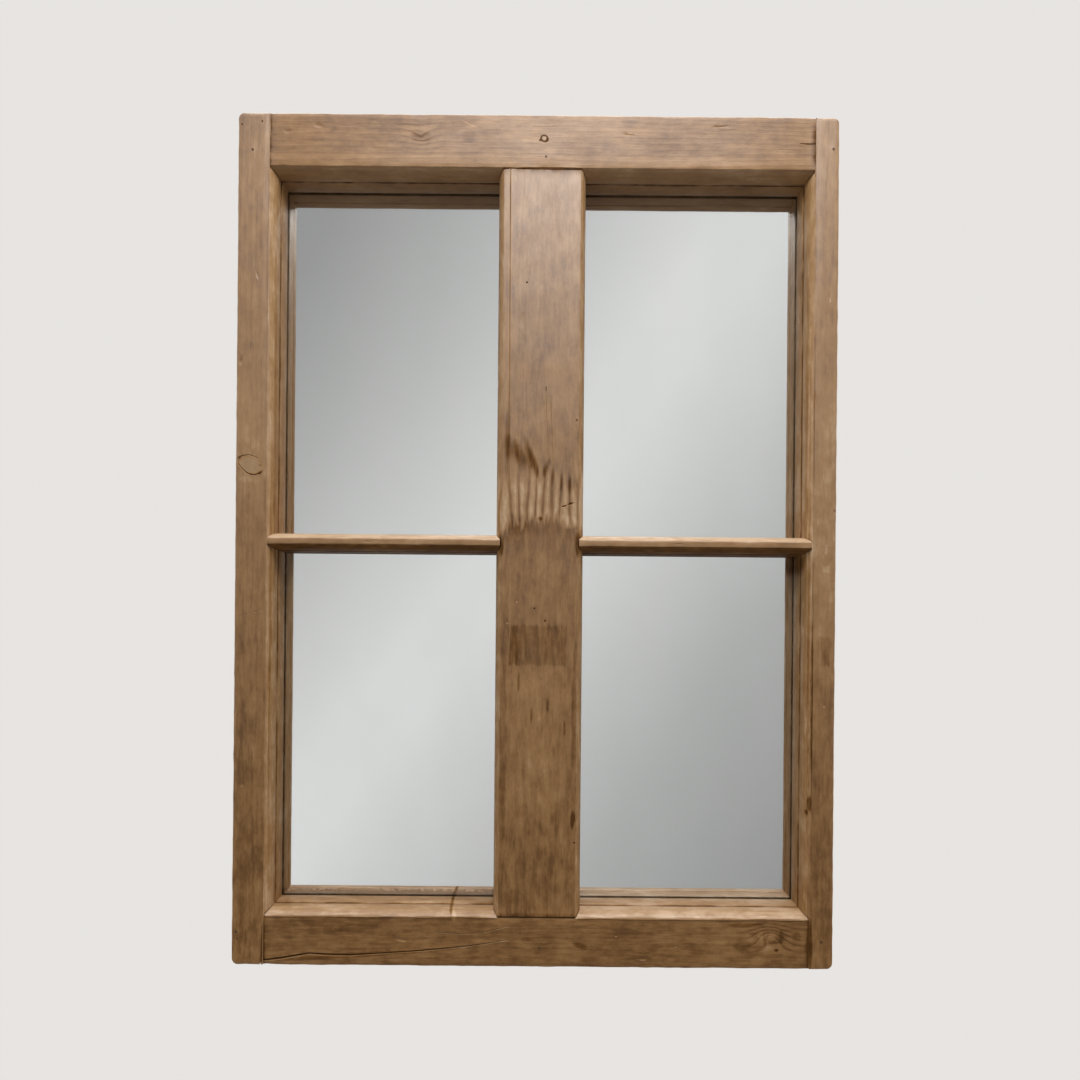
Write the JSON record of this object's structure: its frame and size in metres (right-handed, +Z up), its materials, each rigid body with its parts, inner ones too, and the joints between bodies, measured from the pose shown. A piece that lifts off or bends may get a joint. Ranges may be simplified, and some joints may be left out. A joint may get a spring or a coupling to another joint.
{
  "type": "window mirror",
  "caption": "Old pine window frame made into a wall mirror: moulded stiles, rails, wide mullion and glazing bars around recessed mirror panes, with hangers on the back.",
  "frame": {"origin": "middle of the outline, on the wall plane behind the bumpers", "axes": "+X to the right seen from the front, +Z up, the mirror panes face -Y and the wall is towards +Y"},
  "size_m": [0.6, 0.058, 0.85],
  "materials": {
    "old_pine": "stripped and waxed old pine",
    "silvered_glass": "silvered mirror glass",
    "grey_card": "grey card liner",
    "plywood": "birch plywood, bare",
    "wedge_wood": "oak wedges, end grain",
    "dark_iron": "rusted iron pins",
    "brass": "dull brass",
    "zinc_steel": "zinc plated steel",
    "black_rubber": "matt black rubber"
  },
  "bodies": {
    "frame": {"left_stile": "old_pine", "right_stile": "old_pine", "top_rail": "old_pine", "bottom_rail": "old_pine", "mullion": "old_pine", "left_glazing_bar": "old_pine", "right_glazing_bar": "old_pine", "upper_left_mirror": "silvered_glass", "upper_left_liner": "grey_card", "upper_left_backing_board": "plywood", "upper_right_mirror": "silvered_glass", "upper_right_liner": "grey_card", "upper_right_backing_board": "plywood", "lower_left_mirror": "silvered_glass", "lower_left_liner": "grey_card", "lower_left_backing_board": "plywood", "lower_right_mirror": "silvered_glass", "lower_right_liner": "grey_card", "lower_right_backing_board": "plywood", "tenon_wedges": "wedge_wood", "corner_pins": "dark_iron", "mullion_pins": "dark_iron", "button_screws": "brass", "left_hanger_strap": "zinc_steel", "right_hanger_strap": "zinc_steel", "hanger_screws": "zinc_steel", "upper_left_bumper": "black_rubber", "upper_right_bumper": "black_rubber", "lower_left_bumper": "black_rubber", "lower_right_bumper": "black_rubber", "bumper_screws": "zinc_steel"},
    "lower_left_left_button": {"lower_left_left_turn_button": "brass"},
    "lower_left_right_button": {"lower_left_right_turn_button": "brass"},
    "lower_right_left_button": {"lower_right_left_turn_button": "brass"},
    "lower_right_right_button": {"lower_right_right_turn_button": "brass"},
    "upper_left_left_button": {"upper_left_left_turn_button": "brass"},
    "upper_left_right_button": {"upper_left_right_turn_button": "brass"},
    "upper_right_left_button": {"upper_right_left_turn_button": "brass"},
    "upper_right_right_button": {"upper_right_right_turn_button": "brass"},
    "left_ring": {"left_hanger_ring": "zinc_steel"},
    "right_ring": {"right_hanger_ring": "zinc_steel"}
  },
  "joints": [
    {"name": "lower_left_left_button_turn", "type": "hinge", "parent": "frame", "child": "lower_left_left_button", "pos_m": [-0.277, -0.0062, -0.19012], "axis": [0, 1, 0], "continuous": true},
    {"name": "lower_left_right_button_turn", "type": "hinge", "parent": "frame", "child": "lower_left_right_button", "pos_m": [-0.026, -0.0062, -0.19012], "axis": [0, 1, 0], "continuous": true},
    {"name": "lower_right_left_button_turn", "type": "hinge", "parent": "frame", "child": "lower_right_left_button", "pos_m": [0.034, -0.0062, -0.19012], "axis": [0, 1, 0], "continuous": true},
    {"name": "lower_right_right_button_turn", "type": "hinge", "parent": "frame", "child": "lower_right_right_button", "pos_m": [0.285, -0.0062, -0.19012], "axis": [0, 1, 0], "continuous": true},
    {"name": "upper_left_left_button_turn", "type": "hinge", "parent": "frame", "child": "upper_left_left_button", "pos_m": [-0.277, -0.0062, 0.18663], "axis": [0, 1, 0], "continuous": true},
    {"name": "upper_left_right_button_turn", "type": "hinge", "parent": "frame", "child": "upper_left_right_button", "pos_m": [-0.026, -0.0062, 0.18663], "axis": [0, 1, 0], "continuous": true},
    {"name": "upper_right_left_button_turn", "type": "hinge", "parent": "frame", "child": "upper_right_left_button", "pos_m": [0.034, -0.0062, 0.18663], "axis": [0, 1, 0], "continuous": true},
    {"name": "upper_right_right_button_turn", "type": "hinge", "parent": "frame", "child": "upper_right_right_button", "pos_m": [0.285, -0.0062, 0.18663], "axis": [0, 1, 0], "continuous": true},
    {"name": "left_ring_swing", "type": "hinge", "parent": "frame", "child": "left_ring", "pos_m": [-0.284, -0.005, 0.285], "axis": [1, 0, 0], "range_deg": [0, 180]},
    {"name": "right_ring_swing", "type": "hinge", "parent": "frame", "child": "right_ring", "pos_m": [0.288, -0.005, 0.285], "axis": [1, 0, 0], "range_deg": [0, 180]}
  ]
}
